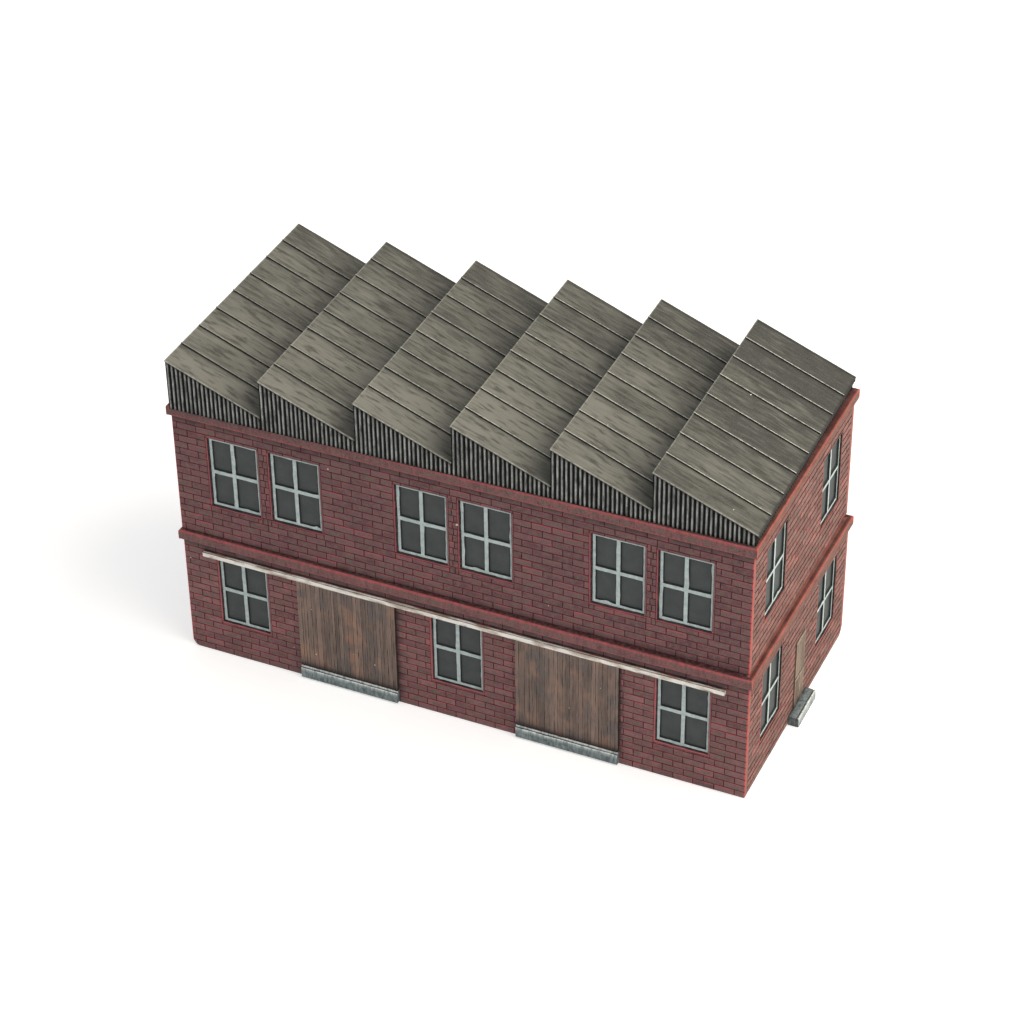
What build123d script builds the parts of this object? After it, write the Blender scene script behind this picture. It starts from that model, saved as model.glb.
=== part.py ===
"""Scale model of a two-storey brick factory with a saw-tooth roof.

Three hollow castings stand on each other: the ground storey, the upper storey and the roof.
Millimetres. X runs along the front, Y from the front to the back, Z up. The origin is the
centre of the ground storey's footprint, on the surface that the model stands on.
"""
import os

from build123d import *

os.makedirs("parts", exist_ok=True)

# ---- driving dimensions ------------------------------------------------------------------
# ground storey casting
ground_length = 120.0
ground_depth = 56.5
wall = 2.4
base_thickness = 2.4

# upper storey casting, set down slightly off centre and slightly turned
upper_inset = 0.1
upper_offset_x = -0.55
upper_offset_y = 0.6
upper_turn = 0.33

# projecting ledges: the string course between the storeys and the cornice
ledge_height = 2.2
ledge_projection = 0.7
ledge_chamfer = 0.25

# roof casting, also set down slightly turned
roof_end_inset = 0.25
roof_side_lap = 0.2
roof_offset_x = -0.6
roof_offset_y = 0.0
roof_turn = 1.1
teeth = 6
curb_height = 2.9
tooth_rise = 8.2
sheet = 0.8
eave_overhang = 0.5
roof_wall = 1.6
seams = 7
seam_width = 0.45
seam_height = 0.25

# windows
window_width = 10.65
window_height = 15.8
ground_sill_height = 8.3
upper_sill_height = 7.6
ground_head_height = 2.7
upper_head_height = 3.7
pair_pitch = 40.25
pair_spacing = 13.4
end_window_spacing = 31.5
end_window_offset = 0.5
sash_recess = 0.4
frame_width = 0.65
frame_depth = 0.4
pane_thickness = 0.9

# sliding doors on the front, their rail and their sills
slide_door_width = 21.5
slide_door_spacing = 47.2
slide_door_offset = -0.2
slide_door_thickness = 0.7
door_lap = 0.9
door_bottom = 3.5
sill_lift = 0.35
sill_nosing = 0.75
sill_depth = 0.95
sill_top_depth = 0.7
rail_length = 110.8
rail_height = 0.95
rail_depth = 0.8

# door and step on the right-hand end
side_door_width = 5.2
side_door_height = 16.4
side_door_offset = 0.8
side_door_thickness = 0.3
side_door_gap = 0.25
side_door_lower_share = 0.45
step_width = 10.0
step_depth = 2.25
step_height = 2.1
step_groove = 0.4
step_groove_inset = 0.8

# ---- sizes of the castings that stand on the ground storey -------------------------------
upper_length = ground_length - 2 * upper_inset
upper_depth = ground_depth
roof_length = upper_length - 2 * roof_end_inset
roof_depth = upper_depth + 2 * roof_side_lap

# ---- levels and centre lines -------------------------------------------------------------
# each storey's wall is as high as its sill, its windows and the brickwork over them
ground_wall_height = ground_sill_height + window_height + ground_head_height
upper_wall_height = upper_sill_height + window_height + upper_head_height

string_bottom = ground_wall_height
upper_bottom = string_bottom + ledge_height
cornice_bottom = upper_bottom + upper_wall_height
roof_bottom = cornice_bottom + ledge_height
valley = roof_bottom + curb_height
peak = valley + tooth_rise

door_top = ground_sill_height + window_height
pair_centres = [-pair_pitch, 0, pair_pitch]
upper_centres = [centre + side * pair_spacing / 2 for centre in pair_centres for side in (-1, 1)]
ground_centres = [upper_centres[0], 0, upper_centres[-1]]
end_centres = [end_window_offset + side * end_window_spacing / 2 for side in (-1, 1)]
door_centres = [slide_door_offset + side * slide_door_spacing / 2 for side in (-1, 1)]

upper_place = Pos(upper_offset_x, upper_offset_y) * Rot(0, 0, upper_turn)
roof_place = Pos(roof_offset_x, roof_offset_y) * Rot(0, 0, roof_turn)
still = Pos(0, 0, 0)


def save(shape, name, place=still):
    """Write one node, in the model's frame."""
    export_step(place * shape, f"parts/{name}.step")


def together(solids):
    """Several separate solids as one node."""
    return Part() + solids


def block(x_range, y_range, z_range):
    """A box given by its limits along each axis."""
    size = [high - low for low, high in (x_range, y_range, z_range)]
    middle = [(high + low) / 2 for low, high in (x_range, y_range, z_range)]
    return Pos(*middle) * Box(*size)


def span(centre, width):
    """The limits of a width about its centre."""
    return (centre - width / 2, centre + width / 2)


def facade(shape, side, half_length, half_depth):
    """Stand a shape made along X, outside face at Y = 0 looking to -Y, on one side."""
    turns = {"front": (0, half_depth), "right": (90, half_length),
             "back": (180, half_depth), "left": (270, half_length)}
    angle, distance = turns[side]
    return Rot(0, 0, angle) * Pos(0, -distance, 0) * shape


# ---- walls -------------------------------------------------------------------------------
def wall_panel(length, z_range, openings):
    """A wall along X with its outside face at Y = 0; openings are (centre, width, z limits)."""
    panel = block(span(0, length), (0, wall), z_range)
    for centre, width, opening_z in openings:
        panel -= block(span(centre, width), (-wall, 2 * wall), opening_z)
    return panel


def window_openings(centres, sill):
    return [(centre, window_width, (sill, sill + window_height)) for centre in centres]


def storey_walls(storey, length, depth, z_range, openings, place=still):
    """Front and back walls run the full length; the end walls stand between them."""
    for side in ("front", "back", "left", "right"):
        long_side = side in ("front", "back")
        panel_length = length if long_side else depth - 2 * wall
        panel = wall_panel(panel_length, z_range, openings[side])
        save(facade(panel, side, length / 2, depth / 2), f"{storey}_wall_{side}", place)


def ledge(name, length, depth, bottom, place=still):
    """Four strips round the top of a storey, standing out from the wall below."""
    z_range = (bottom, bottom + ledge_height)
    for side in ("front", "back", "left", "right"):
        long_side = side in ("front", "back")
        strip_length = length + 2 * ledge_projection if long_side else depth - 2 * wall
        strip = block(span(0, strip_length), (-ledge_projection, wall), z_range)
        outer = strip.edges().filter_by(Axis.X).group_by(Axis.Y)[0]
        strip = chamfer(outer, ledge_chamfer)
        save(facade(strip, side, length / 2, depth / 2), f"{name}_{side}", place)


# ---- windows -----------------------------------------------------------------------------
def sash(centre, sill):
    """One cast window: a pane with a raised frame, set back in its opening."""
    x_range = span(centre, window_width)
    z_range = (sill, sill + window_height)
    pane_front = sash_recess + frame_depth
    plate = block(x_range, (sash_recess, pane_front + pane_thickness), z_range)
    light_x = span(centre, window_width - 2 * frame_width)
    light_z = (sill + frame_width, sill + window_height - frame_width)
    return plate - block(light_x, (sash_recess, pane_front), light_z)


def sashes(centres, sill, side, length, depth):
    """A row of windows on one side, as separate solids."""
    return [facade(sash(centre, sill), side, length / 2, depth / 2) for centre in centres]


def ground_sashes(centres, side):
    return sashes(centres, ground_sill_height, side, ground_length, ground_depth)


def upper_sashes(centres, side):
    return sashes(centres, upper_bottom + upper_sill_height, side, upper_length, upper_depth)


# ---- doors -------------------------------------------------------------------------------
def sliding_door(centre):
    """A plank door hung outside the wall, lapping over its opening."""
    door = block(span(centre, slide_door_width), (-slide_door_thickness, 0), (door_bottom, door_top))
    return facade(door, "front", ground_length / 2, ground_depth / 2)


def door_sill(centre):
    """A two-step sill under a sliding door."""
    x_range = span(centre, slide_door_width)
    nosing = door_bottom - sill_nosing
    step = block(x_range, (-sill_depth, 0), (sill_lift, nosing))
    step += block(x_range, (-sill_top_depth, 0), (nosing, door_bottom))
    return facade(step, "front", ground_length / 2, ground_depth / 2)


def door_rail():
    rail = block(span(0, rail_length), (-rail_depth, 0), (door_top, door_top + rail_height))
    return facade(rail, "front", ground_length / 2, ground_depth / 2)


def side_door():
    """A stable door: an upper and a lower leaf, lapping over their opening."""
    x_range = span(side_door_offset, side_door_width)
    y_range = (-side_door_thickness, 0)
    split = step_height + side_door_height * side_door_lower_share
    lower = block(x_range, y_range, (step_height, split - side_door_gap / 2))
    upper = block(x_range, y_range, (split + side_door_gap / 2, step_height + side_door_height))
    return [facade(leaf, "right", ground_length / 2, ground_depth / 2) for leaf in (lower, upper)]


def side_step():
    """The block in front of the side door, with a groove along its outer edge."""
    x_range = span(side_door_offset, step_width)
    step = block(x_range, (-step_depth, 0), (0, step_height))
    groove_y = span(-step_depth + step_groove_inset, step_groove)
    step -= block(x_range, groove_y, (step_height - step_groove, step_height))
    return facade(step, "right", ground_length / 2, ground_depth / 2)


# ---- roof --------------------------------------------------------------------------------
pitch = roof_length / teeth
fall = tooth_rise / pitch
peaks = [-roof_length / 2 + pitch * tooth for tooth in range(teeth)]


def sheet_top(tooth, x):
    """Height of a tooth's upper surface at x."""
    return peak - fall * (x - peaks[tooth])


def side_profile(points, y_range):
    """Extrude an outline in X and Z between two values of Y."""
    face = Plane.XZ * make_face(Polyline(*points, close=True))
    return Pos(0, y_range[1], 0) * extrude(face, y_range[1] - y_range[0])


def roof_slope(tooth):
    """A sloping sheet with raised seams; the last one carries the eave's wall and overhangs it."""
    start = peaks[tooth]
    foot = start + pitch
    last = tooth == teeth - 1
    end = foot + eave_overhang if last else foot
    y_range = span(0, roof_depth)

    def strip(bottom, top):
        return [(start, sheet_top(tooth, start) + bottom), (end, sheet_top(tooth, end) + bottom),
                (end, sheet_top(tooth, end) + top), (start, sheet_top(tooth, start) + top)]

    slope = side_profile(strip(-sheet, 0), y_range)
    panel = roof_depth / (seams + 1)
    for seam in range(1, seams + 1):
        seam_y = span(-roof_depth / 2 + panel * seam, seam_width)
        slope += side_profile(strip(-sheet / 2, seam_height), seam_y)
    if last:
        inner_y = span(0, roof_depth - 2 * roof_wall)
        top = sheet_top(tooth, foot) - sheet / 2
        slope += block((foot - roof_wall, foot), inner_y, (roof_bottom, top))
    return slope


def roof_riser(tooth):
    """The upright face under a tooth's peak, between the two gables."""
    start = peaks[tooth]
    end = start + roof_wall
    points = [(start, roof_bottom), (end, roof_bottom),
              (end, sheet_top(tooth, end) - sheet), (start, sheet_top(tooth, start) - sheet)]
    return side_profile(points, span(0, roof_depth - 2 * roof_wall))


def gable(side):
    """The saw-tooth wall under the ends of the slopes."""
    points = [(peaks[0], roof_bottom)]
    for tooth in range(teeth):
        start, end = peaks[tooth], peaks[tooth] + pitch
        points += [(start, sheet_top(tooth, start) - sheet), (end, sheet_top(tooth, end) - sheet)]
    points.append((roof_length / 2, roof_bottom))
    outer = side * roof_depth / 2
    inner = outer - side * roof_wall
    return side_profile(points, (min(outer, inner), max(outer, inner)))


# ---- ground storey -----------------------------------------------------------------------
door_openings = [(centre, slide_door_width - 2 * door_lap, (door_bottom, door_top - door_lap))
                 for centre in door_centres]
side_door_opening = (side_door_offset, side_door_width - 2 * door_lap,
                     (step_height + door_lap, step_height + side_door_height - door_lap))
ground_end_windows = window_openings(end_centres, ground_sill_height)
ground_openings = {
    "front": window_openings(ground_centres, ground_sill_height) + door_openings,
    "back": window_openings(upper_centres, ground_sill_height),
    "left": ground_end_windows,
    "right": ground_end_windows + [side_door_opening],
}
storey_walls("ground", ground_length, ground_depth, (0, ground_wall_height), ground_openings)
save(block(span(0, ground_length - 2 * wall), span(0, ground_depth - 2 * wall),
           (0, base_thickness)), "base_floor")
ledge("string_course", ground_length, ground_depth, string_bottom)
save(sliding_door(door_centres[0]), "sliding_door_left")
save(sliding_door(door_centres[1]), "sliding_door_right")
save(together([door_sill(centre) for centre in door_centres]), "door_sills")
save(door_rail(), "door_rail")
save(together(side_door()), "side_door")
save(side_step(), "side_step")
save(together(ground_sashes(ground_centres, "front")), "windows_front_ground")
save(together(ground_sashes(upper_centres, "back")), "windows_back_ground")

# ---- upper storey ------------------------------------------------------------------------
upper_sill = upper_bottom + upper_sill_height
upper_openings = {
    "front": window_openings(upper_centres, upper_sill),
    "back": window_openings(upper_centres, upper_sill),
    "left": window_openings(end_centres, upper_sill),
    "right": window_openings(end_centres, upper_sill),
}
storey_walls("upper", upper_length, upper_depth, (upper_bottom, cornice_bottom),
             upper_openings, upper_place)
save(block(span(0, ground_length - 2 * wall), span(0, ground_depth - 2 * wall),
           (string_bottom, upper_bottom)), "upper_floor")
ledge("cornice", upper_length, upper_depth, cornice_bottom, upper_place)
save(together(upper_sashes(upper_centres, "front")), "windows_front_upper", upper_place)
save(together(upper_sashes(upper_centres, "back")), "windows_back_upper", upper_place)

# ---- windows of the two ends, both storeys -----------------------------------------------
for end in ("left", "right"):
    upper_pair = [upper_place * pane for pane in upper_sashes(end_centres, end)]
    save(together(ground_sashes(end_centres, end) + upper_pair), f"windows_{end}_end")

# ---- roof --------------------------------------------------------------------------------
for tooth in range(teeth):
    save(roof_slope(tooth), f"roof_slope_{tooth + 1}", roof_place)
    save(roof_riser(tooth), f"roof_riser_{tooth + 1}", roof_place)
save(gable(-1), "gable_front", roof_place)
save(gable(1), "gable_back", roof_place)
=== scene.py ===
"""Looks of the painted factory model: brickwork, ledges, windows, doors and saw-tooth roof.

Lengths in this script are millimetres, as in the part's source, and become metres when a mesh
is made. A point on a side of the building is (along, out, up): along the side, out from its
face, and up from the ground. Paint colours are (red, green, blue) from 0 to 255.
"""

import math

import bpy
import numpy as np
from mathutils import Matrix, Vector

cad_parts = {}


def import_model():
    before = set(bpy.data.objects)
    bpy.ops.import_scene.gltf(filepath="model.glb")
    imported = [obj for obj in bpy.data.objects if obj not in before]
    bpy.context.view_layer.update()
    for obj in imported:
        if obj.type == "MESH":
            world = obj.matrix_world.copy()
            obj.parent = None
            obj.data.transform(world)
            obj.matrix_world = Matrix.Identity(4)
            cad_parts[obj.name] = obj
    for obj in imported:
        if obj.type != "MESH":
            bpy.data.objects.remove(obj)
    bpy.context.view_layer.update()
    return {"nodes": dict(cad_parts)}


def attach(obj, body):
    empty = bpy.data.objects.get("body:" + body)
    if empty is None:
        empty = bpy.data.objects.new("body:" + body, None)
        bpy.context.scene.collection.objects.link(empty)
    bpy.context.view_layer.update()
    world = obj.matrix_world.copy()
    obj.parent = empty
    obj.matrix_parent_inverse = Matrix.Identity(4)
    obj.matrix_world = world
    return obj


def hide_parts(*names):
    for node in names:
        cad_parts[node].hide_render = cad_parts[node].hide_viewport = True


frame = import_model()
rng = np.random.default_rng(11)
MM = 0.001
SIDES = ("front", "right", "back", "left")
LONG_SIDES = ("front", "back")
ENDS = ("left", "right")


# ---- the three castings ----
class Casting:
    """A hollow casting that stands off the origin by x and y, turned about Z in degrees.

    half is half its length and half its depth, and sill is the height of its windows' sills.
    """

    def __init__(self, front_node, x=0.0, y=0.0, turn=0.0, sill=0.0):
        self.offset = np.array([x, y, 0.0])
        cosine, sine = math.cos(math.radians(turn)), math.sin(math.radians(turn))
        self.turn = np.array([[cosine, -sine, 0], [sine, cosine, 0], [0, 0, 1]])
        low, high = self.limits(front_node)
        self.half = (high[0], -low[1])
        self.wall = high[1] - low[1]
        self.bottom, self.top = low[2], high[2]
        self.sill = self.bottom + sill

    def put(self, points):
        return points @ self.turn.T + self.offset

    def limits(self, node):
        """A CAD node's lowest and highest corners along the casting's own directions."""
        vertices = frame["nodes"][node].data.vertices
        points = np.empty(3 * len(vertices))
        vertices.foreach_get("co", points)
        points = (points.reshape(-1, 3) / MM - self.offset) @ self.turn
        return points.min(0), points.max(0)

    def facade(self, side, distance=None):
        """The function that carries (along, out, up) points onto one side.

        distance puts the face that far from the casting's middle, and not at the side's own.
        """
        quarter = SIDES.index(side)
        cosine, sine = ((1, 0), (0, 1), (-1, 0), (0, -1))[quarter]
        if distance is None:
            distance = self.half[1 - quarter % 2]

        def carry(points):
            along, out, up = points.T
            away = -distance - out
            return self.put(np.column_stack((cosine * along - sine * away,
                                             sine * along + cosine * away, up)))

        return carry


ground = Casting("ground_wall_front", sill=8.3)
upper = Casting("upper_wall_front", -0.55, 0.6, 0.33, sill=7.6)
roof = Casting("gable_front", -0.6, 0.0, 1.1)

# windows: the same values as in the part's source
window_width = 10.65
window_height = 15.8
pair_pitch = 40.25
pair_spacing = 13.4
end_centres = [0.5 - 31.5 / 2, 0.5 + 31.5 / 2]
sash_recess = 0.4
frame_depth = 0.4
pane_thickness = 0.9
pairs = [-pair_pitch, 0, pair_pitch]
upper_centres = [pair + half * pair_spacing / 2 for pair in pairs for half in (-1, 1)]
ground_centres = [upper_centres[0], 0, upper_centres[-1]]


# ---- meshes ----
corner_wear = 3.0  # how much stronger a rim's paint is at the building's corners


def placed(name, data):
    """A new object in the scene."""
    thing = bpy.data.objects.new(name, data)
    bpy.context.scene.collection.objects.link(thing)
    return thing


class Skin:
    """Collects points, faces and paint until they become one mesh.

    Each point has four paint values: rim (dry-brushed edges), tone (one value for each brick
    or plank), wash (dark paint run into corners, and painted shade under and beside parts)
    and lift (0 in a joint, 1 on a face).
    """

    def __init__(self, carry):
        self.carry = carry
        self.points = []
        self.faces = []
        self.paint = []
        self.count = 0

    def add(self, points, faces, rim=0.0, tone=0.5, wash=0.0, lift=1.0):
        points = np.reshape(points, (-1, 3))
        paint = np.empty((len(points), 4))
        for channel, value in enumerate((rim, tone, wash, lift)):
            paint[:, channel] = np.ravel(value)
        self.faces += (np.asarray(faces) + self.count).tolist()
        self.points.append(self.carry(points))
        self.paint.append(paint)
        self.count += len(points)

    def piece(self, name, material, slot, *nodes):
        """Make the mesh, ride it on the body and let it stand for its CAD nodes."""
        mesh = bpy.data.meshes.new(name)
        mesh.from_pydata((np.concatenate(self.points) * MM).tolist(), [], self.faces)
        layer = mesh.attributes.new("paint", "FLOAT_COLOR", "POINT")
        layer.data.foreach_set("color", np.concatenate(self.paint).ravel())
        mesh.materials.append(material)
        mesh.update()
        thing = placed(name, mesh)
        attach(thing, "root")
        if nodes:
            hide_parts(*nodes)


def wave(count, amount, bends=5):
    """A smooth, hand-made wander of about this size, as one value for each station."""
    t = np.linspace(0, 1, count)
    total = sum(rng.normal() / math.sqrt(n) * np.sin(2 * math.pi * (n * t + rng.random()))
                for n in range(1, bends + 1))
    return amount * total / 1.5


def grid_faces(columns, rows):
    """Quads over points listed column by column."""
    low = np.arange(columns * rows).reshape(columns, rows)
    return np.stack([low[:-1, :-1], low[1:, :-1], low[1:, 1:], low[:-1, 1:]], -1).reshape(-1, 4)


def across(low, high, rim, ring, parts, joint, at_low=False, at_high=False, worn=0.0):
    """Stations across pads from low to high, with each one's depth, rim paint and lift.

    at_low and at_high are true where a pad ends at a corner of the building: its end then runs
    back along the corner's diagonal, and its rim is worn this much wider.
    """
    length, one = high - low, np.ones(len(low))
    ring = np.minimum(ring, 0.3 * length)
    wide = np.minimum(worn, 0.5 * length - rim)
    fade = np.maximum(np.minimum(1.4 * worn, 0.65 * length) - ring, 0)

    def end(edge, inward, turn):
        edge_paint = 0.4 + 0.6 * turn
        inset = np.array([joint * turn, 0.3 * rim * turn, rim + wide * turn, ring + fade * turn])
        return np.array([edge + inward * inset,
                         [joint * one, rim * (0.7 - 0.4 * turn), 0 * one, 0 * one],
                         [0.3 * one, edge_paint, one, 0 * one], [0 * one, edge_paint, one, one]])

    first, last = end(low, 1, at_low * one), end(high, -1, at_high * one)[:, ::-1]
    flat = np.zeros((4, parts - 1, len(low)))
    share = np.arange(1, parts)[:, None] / parts
    flat[0] = first[0, -1] + share * (last[0, 0] - first[0, -1])
    flat[3] = 1
    return np.concatenate((first, flat, last), 1).swapaxes(1, 2)


def pads(skin, rows, face=0.0, joint=0.16, rim=0.07, ring=0.26, parts=(2, 1), wobble=0.02,
         corners=(False, False), worn=0.0, strength=1.0, caught=(1.0, 1.0), tones=None, wash_and_shade_map=None):
    """Raised pads such as bricks or boards; rows are (low along, high along, low up, high up).

    joint is how deep their sides run, and rim and ring are how far in their worn rim and their
    clean face start. worn is how wide the paint is worn at the building's corners, caught is the
    share of the rim's paint on upright and on lower edges, and the last argument gives the dark
    wash and painted shade at positions.
    """
    rows = np.asarray(rows, float)
    at_low, at_high = (np.broadcast_to(flag, len(rows)) for flag in corners)
    along, depth_a, paint_a, lift_a = across(*rows[:, :2].T, rim, ring, parts[0], joint, at_low,
                                             at_high, worn)
    up, depth_u, paint_u, lift_u = across(*rows[:, 2:].T, rim, ring, parts[1], joint)
    shape = (len(rows), along.shape[1], up.shape[1])
    points = np.empty(shape + (3,))
    points[..., 0] = along[:, :, None] + wobble * rng.normal(size=shape)
    points[..., 1] = face - np.maximum(depth_a[:, :, None], depth_u[:, None, :])
    points[..., 2] = up[:, None, :] + wobble * rng.normal(size=shape)
    rim_a, rim_u = caught[0] * paint_a, paint_u.copy()
    rim_u[:, :4] *= caught[1]
    for flag, columns in ((at_low, slice(0, 3)), (at_high, slice(-3, None))):
        points[flag, columns, :, 0] = along[flag, columns, None]
        rim_a[flag, columns] = corner_wear * paint_a[flag, columns]
    rim_paint = strength * np.maximum(rim_a[:, :, None], rim_u[:, None, :])
    lift = np.minimum(lift_a[:, :, None], lift_u[:, None, :])
    tone = rng.random(len(rows)) if tones is None else np.asarray(tones, float)
    quads = grid_faces(*shape[1:])
    starts = np.arange(len(rows))[:, None, None] * shape[1] * shape[2]
    wash_and_shade_values = 0.0 if wash_and_shade_map is None else wash_and_shade_map(points[..., 0].ravel(), points[..., 2].ravel())
    skin.add(points, (quads + starts).reshape(-1, 4), rim=rim_paint, wash=wash_and_shade_values, lift=lift,
             tone=np.broadcast_to(tone[:, None, None], shape))


def slab(skin, along, up, openings, front, back, face_wash=1.0, jamb_wash=1.0, cuts=((), ())):
    """A wall's core with its openings cut through; openings are (low, high, bottom, top).

    cuts are more places along and up where the core is divided, so that it can bend.
    """
    cuts_a = sorted({*along, *cuts[0]} | {v for o in openings for v in o[:2]})
    cuts_u = sorted({*up, *cuts[1]} | {v for o in openings for v in o[2:]})

    def solid(a, u):
        if not (0 <= a < len(cuts_a) - 1 and 0 <= u < len(cuts_u) - 1):
            return False
        middle = ((cuts_a[a] + cuts_a[a + 1]) / 2, (cuts_u[u] + cuts_u[u + 1]) / 2)
        return not any(o[0] < middle[0] < o[1] and o[2] < middle[1] < o[3] for o in openings)

    for a, (a0, a1) in enumerate(zip(cuts_a, cuts_a[1:])):
        for u, (u0, u1) in enumerate(zip(cuts_u, cuts_u[1:])):
            if not solid(a, u):
                continue
            cell = [(a0, u0), (a1, u0), (a1, u1), (a0, u1)]
            skin.add([(x, front, z) for x, z in cell], [(0, 1, 2, 3)], wash=face_wash, lift=0)
            skin.add([(x, back, z) for x, z in cell], [(3, 2, 1, 0)], wash=0.3)
            for edge, (step_a, step_u) in enumerate(((0, -1), (1, 0), (0, 1), (-1, 0))):
                if not solid(a + step_a, u + step_u):
                    (x0, z0), (x1, z1) = cell[edge], cell[(edge + 1) % 4]
                    skin.add([(x0, back, z0), (x1, back, z1), (x1, front, z1), (x0, front, z0)],
                             [(0, 1, 2, 3)], wash=jamb_wash)


def sweep(skin, profile, stations, mitre=0.0, wander=0.0, capped=True, cap_wash=0.3,
          end_rim=0.0):
    """A closed outline of (out, up, rim, wash and painted shade) points carried along a side.

    mitre is how much farther a point runs at both ends for each millimetre that it stands out,
    and end_rim is the rim paint on clean points at both ends.
    """
    profile = np.asarray(profile, float)
    count, size = len(stations), len(profile)
    middle, half = (stations[0] + stations[-1]) / 2, (stations[-1] - stations[0]) / 2
    points = np.empty((count, size, 3))
    reach = (np.asarray(stations)[:, None] - middle) / half
    points[..., 0] = middle + reach * (half + mitre * profile[None, :, 0])
    points[..., 1:] = profile[None, :, :2]
    for column in np.where(profile[:, 2] > 0.15)[0]:
        points[:, column, 1] -= np.abs(wave(count, wander, 12))
        points[:, column, 2] += wave(count, wander, 12)
    here = np.arange(count * size).reshape(count, size)
    after = np.roll(here, -1, 1)
    faces = np.stack([here[:-1], after[:-1], after[1:], here[1:]], -1).reshape(-1, 4)
    rim = np.tile(profile[:, 2], (count, 1))
    rim[[0, -1]] = np.maximum(rim[[0, -1]], np.where(profile[:, 3] < 0.2, end_rim, 0))
    skin.add(points, faces, rim=rim, wash=np.tile(profile[:, 3], count))
    if capped:
        for station, order in ((0, -1), (-1, 1)):
            skin.add(points[station][::order], [tuple(range(size))],
                     rim=profile[::order, 2] * 0.3, wash=cap_wash)


def bar(skin, start, end, width, base, crown, blob=0.15):
    """A painted glazing bar with brush-wide, slightly wandering edges and dark sides."""
    start, end = np.array(start, float), np.array(end, float)
    length = np.linalg.norm(end - start)
    direction = (end - start) / length
    normal = np.array([-direction[1], direction[0]])
    count = int(length / 0.4)
    t = np.linspace(0, length, count)
    sides = []
    for side in (1, -1):
        half = width / 2 + wave(count, 0.02, 7)
        if rng.random() < 0.6:
            bulge = np.exp(-((t - rng.uniform(0, length)) / rng.uniform(0.4, 1.1)) ** 2)
            half += rng.uniform(0.3, 1.0) * blob * bulge
        sides.append(side * half)
    offsets = [sides[0], sides[0], 0.95 * sides[0], 0.95 * sides[1], sides[1], sides[1]]
    depths = [base, crown - 0.03, crown, crown, crown - 0.03, base]
    points = np.empty((count, len(offsets), 3))
    for column, (offset, depth) in enumerate(zip(offsets, depths)):
        line = start + direction * t[:, None] + normal * offset[:, None]
        points[:, column, 0], points[:, column, 2] = line.T
        points[:, column, 1] = depth
    skin.add(points, grid_faces(count, len(offsets))[:, ::-1],
             rim=np.tile([0.0, 0.6, 1.0, 1.0, 0.6, 0.0], count), tone=rng.random())


# ---- paint ----
def linear(colour):
    """A 0-255 colour as the linear colour that a node takes."""
    shares = [value / 255 for value in colour]
    return (*(s / 12.92 if s <= 0.04045 else ((s + 0.055) / 1.055) ** 2.4 for s in shares), 1.0)


def feed(tree, socket, value):
    """Join another node's output to an input, or set the input to a plain value."""
    if isinstance(value, bpy.types.NodeSocket):
        tree.links.new(value, socket)
    else:
        socket.default_value = value


def add_node(tree, kind, *values, **named):
    """A new shader node with its inputs fed, in their order or by their names."""
    node = tree.nodes.new("ShaderNode" + kind)
    for socket, value in zip(node.inputs, values):
        feed(tree, socket, value)
    for name, value in named.items():
        feed(tree, node.inputs[name], value)
    return node


class Finish:
    """Builds one painted material, coat on coat; body is its colour so far."""

    def __init__(self, name, roughness, specular=0.25):
        self.material = bpy.data.materials.new(name)
        self.material.use_nodes = True
        self.tree = self.material.node_tree
        self.shader = self.tree.nodes["Principled BSDF"].inputs
        self.shader["Specular IOR Level"].default_value = specular
        self.shader["Roughness"].default_value = roughness
        self.where = add_node(self.tree, "TexCoord").outputs["Object"]
        attribute = add_node(self.tree, "Attribute")
        attribute.attribute_name = "paint"
        split = add_node(self.tree, "SeparateColor", attribute.outputs["Color"])
        self.rim, self.tone, self.wash = split.outputs[:3]
        self.lift = attribute.outputs["Alpha"]

    def noise(self, size, stretch=(1, 1, 1), detail=3.0, shift=0.0):
        """Noise whose blotches are about size millimetres, longer along a stretched axis."""
        place = add_node(self.tree, "Mapping", Vector=self.where, Location=[shift] * 3,
                         Scale=[1 / value for value in stretch])
        return add_node(self.tree, "TexNoise", Vector=place.outputs[0], Scale=1 / (size * MM),
                        Detail=detail).outputs["Fac"]

    def joined(self, operation, values):
        total = values[0]
        for value in values[1:]:
            node = add_node(self.tree, "Math", total, value)
            node.operation = operation
            total = node.outputs[0]
        return total

    def times(self, *values):
        return self.joined("MULTIPLY", values)

    def plus(self, *values):
        return self.joined("ADD", values)

    def blend(self, *parts):
        """The sum of values times their weights; parts are (value, weight)."""
        return self.plus(*(self.times(*part) for part in parts))

    def level(self, value, low, high, to_low=0.0, to_high=1.0):
        """Value carried from low..high to to_low..to_high, and held at its ends."""
        return add_node(self.tree, "MapRange", value, low, high, to_low, to_high).outputs[0]

    def mix(self, factor, first, second):
        node = add_node(self.tree, "Mix", factor)
        node.data_type = "RGBA"
        feed(self.tree, node.inputs[6], first)
        feed(self.tree, node.inputs[7], second)
        return node.outputs[2]

    def base(self, dark, light, value, low=0.0, high=1.0):
        """The first coat: dark where value is at low, light where it is at high."""
        self.body = self.mix(self.level(value, low, high), linear(dark), linear(light))

    def coat(self, colour, value, low=0.0, high=1.0, share=1.0):
        """One more colour: none of it where value is at low, and share of it at high."""
        self.body = self.mix(self.level(value, low, high, 0, share), self.body, linear(colour))

    def finish(self, height, depth):
        """Set the colour and a bump, height 0-1 over depth millimetres, and give the material."""
        bump = add_node(self.tree, "Bump", Distance=depth * MM, Height=height)
        feed(self.tree, self.shader["Base Color"], self.body)
        feed(self.tree, self.shader["Normal"], bump.outputs[0])
        return self.material


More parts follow.
